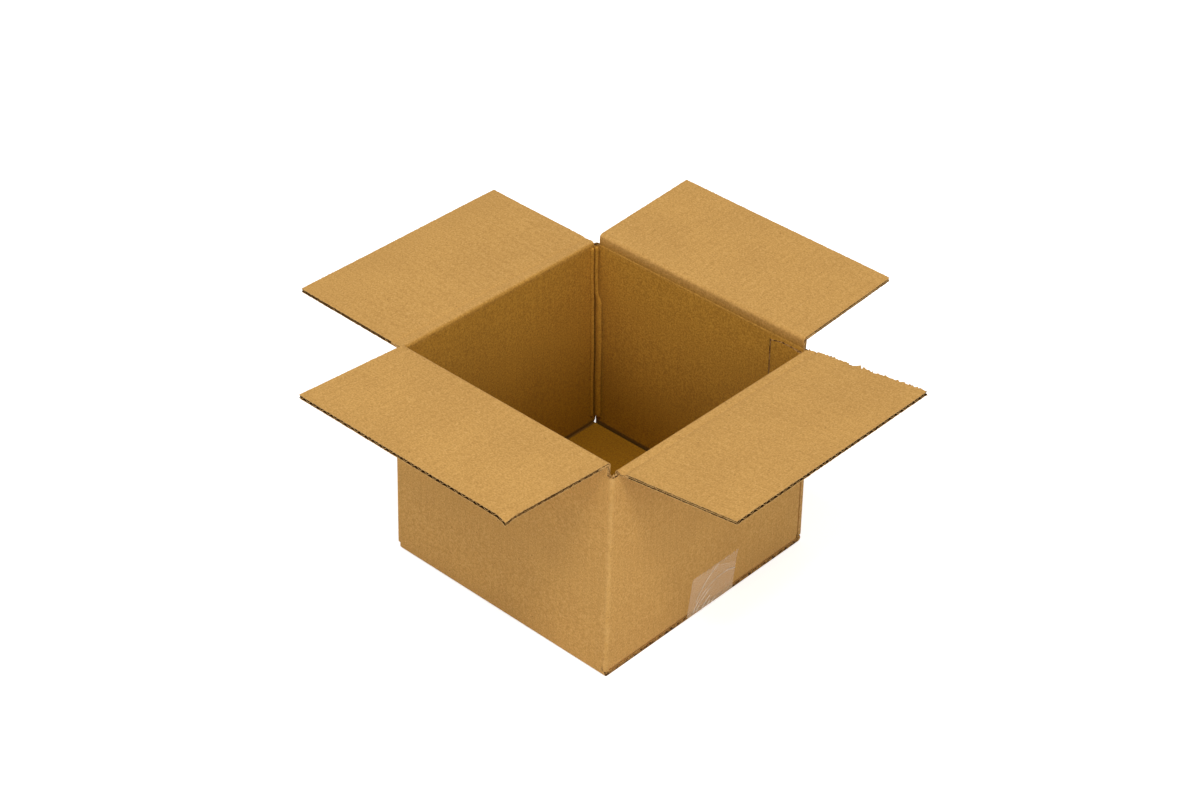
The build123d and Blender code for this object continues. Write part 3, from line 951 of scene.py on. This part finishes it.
class CARTON_OT_tape(bpy.types.Operator):
    """Runs the clear tape under the seam and up both side walls"""

    bl_idname = "carton.tape"
    bl_label = "Clear Tape"

    def execute(self, context):
        tape = context.scene.carton_tape
        width = tape.width * 1000
        face = SIDE + 0.13
        near, far = 1.3, 3.4  # radii of its two turns, round the right wall's foot and the left one's
        middle, foot, height = 4.5, 5.0, 28.0  # of the right tail
        columns, rows = 40, 12
        film = start_grid(
            "bottom_tape", columns, rows, width, height, (face, middle, foot + height / 2), (pi / 2, 0, pi / 2),
        )
        pick("EDGE", lambda x, y, z: z < foot + 0.1, rim_only=True)
        pull((0, 0, near - foot))
        bend(pi / 2, (face - near, 0, near), (0, 1, 0), steps=6)
        pull_along([(x, 0, 0) for x in (face - near, 70, 35, 0, -35, -70, far - face)])
        bend(pi / 2, (far - face, 0, far), (0, 1, 0), steps=6)
        pull_along([(0, 0, z) for z in (far, 5, 12, 20, 28, 36)])
        # The right tail narrows and leans back, and its near top corner is torn round
        near_edge = middle - width / 2
        for column in range(1, columns + 1):
            level = near_edge + width * column / columns
            pick("VERT", lambda x, y, z: x > face - 0.1 and abs(y - level) < 0.1)
            shift(0, -2.2 * column / columns, 0)
        for row in range(1, rows + 1):
            level = foot + row * height / rows
            pick("VERT", lambda x, y, z: x > face - 0.1 and abs(z - level) < 0.1)
            shift(0, 4.2 * row / rows, 0)
        pick("VERT", lambda x, y, z: x > face - 0.1 and z > foot + height - 0.1 and y < near_edge + 4.4)
        bpy.ops.mesh.bevel(offset=0.0035, segments=4, affect="VERTICES")
        pick("VERT", lambda x, y, z: x > face - 0.1 and z > foot + height - 0.2 and y > -12)
        stray(offset=0.0004, seed=3)
        face_out((face, 5, 20), (1, 0, 0))
        leave_edit()
        thicken(film, tape.film, -1.0)
        film.data.materials.append(tape_film(tape))
        # Centre in y and z, radius, and the angles over +Y at which each wrinkle starts and ends
        wrinkles = [
            self.wrinkle(tape, face, *arc) for arc in (
                (15, -12, 32.8, 153, 66), (15, -12, 29.5, 151, 113), (15, -12, 24.0, 148, 120),
                (15, -12, 20.0, 140, 125), (15, -12, 17.0, 130, 112), (29, -10, 45.5, 153, 114),
            )
        ]
        film = join("bottom_tape", [film] + wrinkles)
        lean(film)
        smooth(film, 50)
        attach(film, "carton")
        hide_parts("sealing_tape")
        return {"FINISHED"}

    def wrinkle(self, tape, face, centre_y, centre_z, radius, first, last):
        """A lifted fold of the film, spun along its arc."""
        first, last = radians(first), radians(last)
        start = (face, centre_y + radius * cos(first), centre_z + radius * sin(first))
        bpy.ops.mesh.primitive_circle_add(vertices=6, radius=0.00028, location=mm(*start), rotation=(first, 0, 0))
        piece = begin("wrinkle")
        bend(last - first, (face, centre_y, centre_z), (1, 0, 0), steps=24)
        bpy.ops.mesh.select_all(action="SELECT")
        bpy.ops.mesh.fill_holes(sides=8)
        bpy.ops.mesh.select_all(action="SELECT")
        bpy.ops.mesh.normals_make_consistent(inside=False)
        leave_edit()
        piece.data.materials.append(shared(lifted_film, tape))
        return piece


class CARTON_OT_stage(bpy.types.Operator):
    """Sets the pale floor, the soft lights and the camera"""

    bl_idname = "carton.stage"
    bl_label = "Studio"

    def execute(self, context):
        studio = context.scene.carton_studio
        bpy.ops.mesh.primitive_circle_add(vertices=96, radius=4.0, fill_type="NGON", location=(0, 0, -0.0003))
        floor = begin("studio_floor")
        bpy.ops.mesh.inset(thickness=2.0)
        leave_edit()
        floor.data.materials.append(studio_floor(studio.floor))

        # Place and size in metres, and share of the top light's power
        for name, place, size, share in (
            ("top_light", (0.95, -1.1, 2.8), 0.8, 1.0),
            ("left_light", (-0.8, -1.35, 2.7), 1.6, 0.65),
            ("right_light", (2.15, -1.0, 1.75), 1.8, 0.59),
        ):
            lamp = bpy.data.lights.new(name, "AREA")
            lamp.shape = "DISK"
            lamp.size = size
            lamp.energy = studio.key * share
            light = bpy.data.objects.new(name, lamp)
            context.collection.objects.link(light)
            light.location = place
            light.rotation_euler = (Vector((0, 0, 0.1)) - Vector(place)).to_track_quat("-Z", "Y").to_euler()

        world = bpy.data.worlds.new("studio_sky")
        context.scene.world = world
        world.use_nodes = True
        tree = world.node_tree
        tree.nodes.clear()
        strength = add(tree, "ShaderNodeMapRange", {
            "Value": seen_rays(tree), "To Min": studio.sky, "To Max": 1.0,
        }).outputs["Result"]
        sky = add(tree, "ShaderNodeBackground", {"Color": WHITE, "Strength": strength})
        output = add(tree, "ShaderNodeOutputWorld", {"Surface": sky.outputs[0]})
        output.is_active_output = True

        a, e, r = studio.azimuth, studio.elevation, studio.roll
        back = Vector((sin(a) * cos(e), -cos(a) * cos(e), sin(e)))
        right = (-back).cross(Vector((0, 0, 1))).normalized()
        above = right.cross(-back)
        right, above = right * cos(r) + above * sin(r), above * cos(r) - right * sin(r)
        turn = Matrix((right, above, back)).transposed().to_4x4()
        lens = bpy.data.cameras.new("photo_camera")
        lens.sensor_width = 36.0
        lens.lens = studio.lens
        lens.clip_start = 0.05
        lens.clip_end = 50.0
        camera = bpy.data.objects.new("photo_camera", lens)
        context.collection.objects.link(camera)
        camera.matrix_world = Matrix.Translation(Vector(studio.target) + back * studio.distance) @ turn
        context.scene.camera = camera
        context.scene.view_settings.view_transform = "Standard"
        return {"FINISHED"}


class CARTON_PT_panel(bpy.types.Panel):
    """The carton's settings and its steps, in order"""

    bl_idname = "CARTON_PT_panel"
    bl_label = "Open Carton"
    bl_space_type = "VIEW_3D"
    bl_region_type = "UI"
    bl_category = "Carton"

    def draw(self, context):
        for title, group in (
            ("Board", context.scene.carton_board), ("Flaps", context.scene.carton_flaps),
            ("Tape", context.scene.carton_tape), ("Studio", context.scene.carton_studio),
        ):
            box = self.layout.box()
            box.label(text=title)
            for name in group.bl_rna.properties.keys():
                if name not in ("rna_type", "name"):
                    box.prop(group, name)
        for step in STEPS:
            self.layout.operator(step.bl_idname)


GROUPS = (
    ("carton_board", CartonBoard), ("carton_flaps", CartonFlaps),
    ("carton_tape", CartonTape), ("carton_studio", CartonStudio),
)
STEPS = (
    CARTON_OT_stage, CARTON_OT_walls, CARTON_OT_corner_beads, CARTON_OT_flaps, CARTON_OT_fibres, CARTON_OT_tape,
)


def register():
    for name, group in GROUPS:
        bpy.utils.register_class(group)
        setattr(bpy.types.Scene, name, PointerProperty(type=group))
    for step in STEPS + (CARTON_PT_panel,):
        bpy.utils.register_class(step)


def unregister():
    for step in reversed(STEPS + (CARTON_PT_panel,)):
        bpy.utils.unregister_class(step)
    for name, group in reversed(GROUPS):
        delattr(bpy.types.Scene, name)
        bpy.utils.unregister_class(group)


def main():
    """Registers the add-on and makes every piece."""
    register()
    bpy.ops.carton.stage()
    bpy.ops.carton.walls()
    bpy.ops.carton.corner_beads()
    bpy.ops.carton.flaps()
    bpy.ops.carton.fibres()
    bpy.ops.carton.tape()


if __name__ == "__main__":
    main()
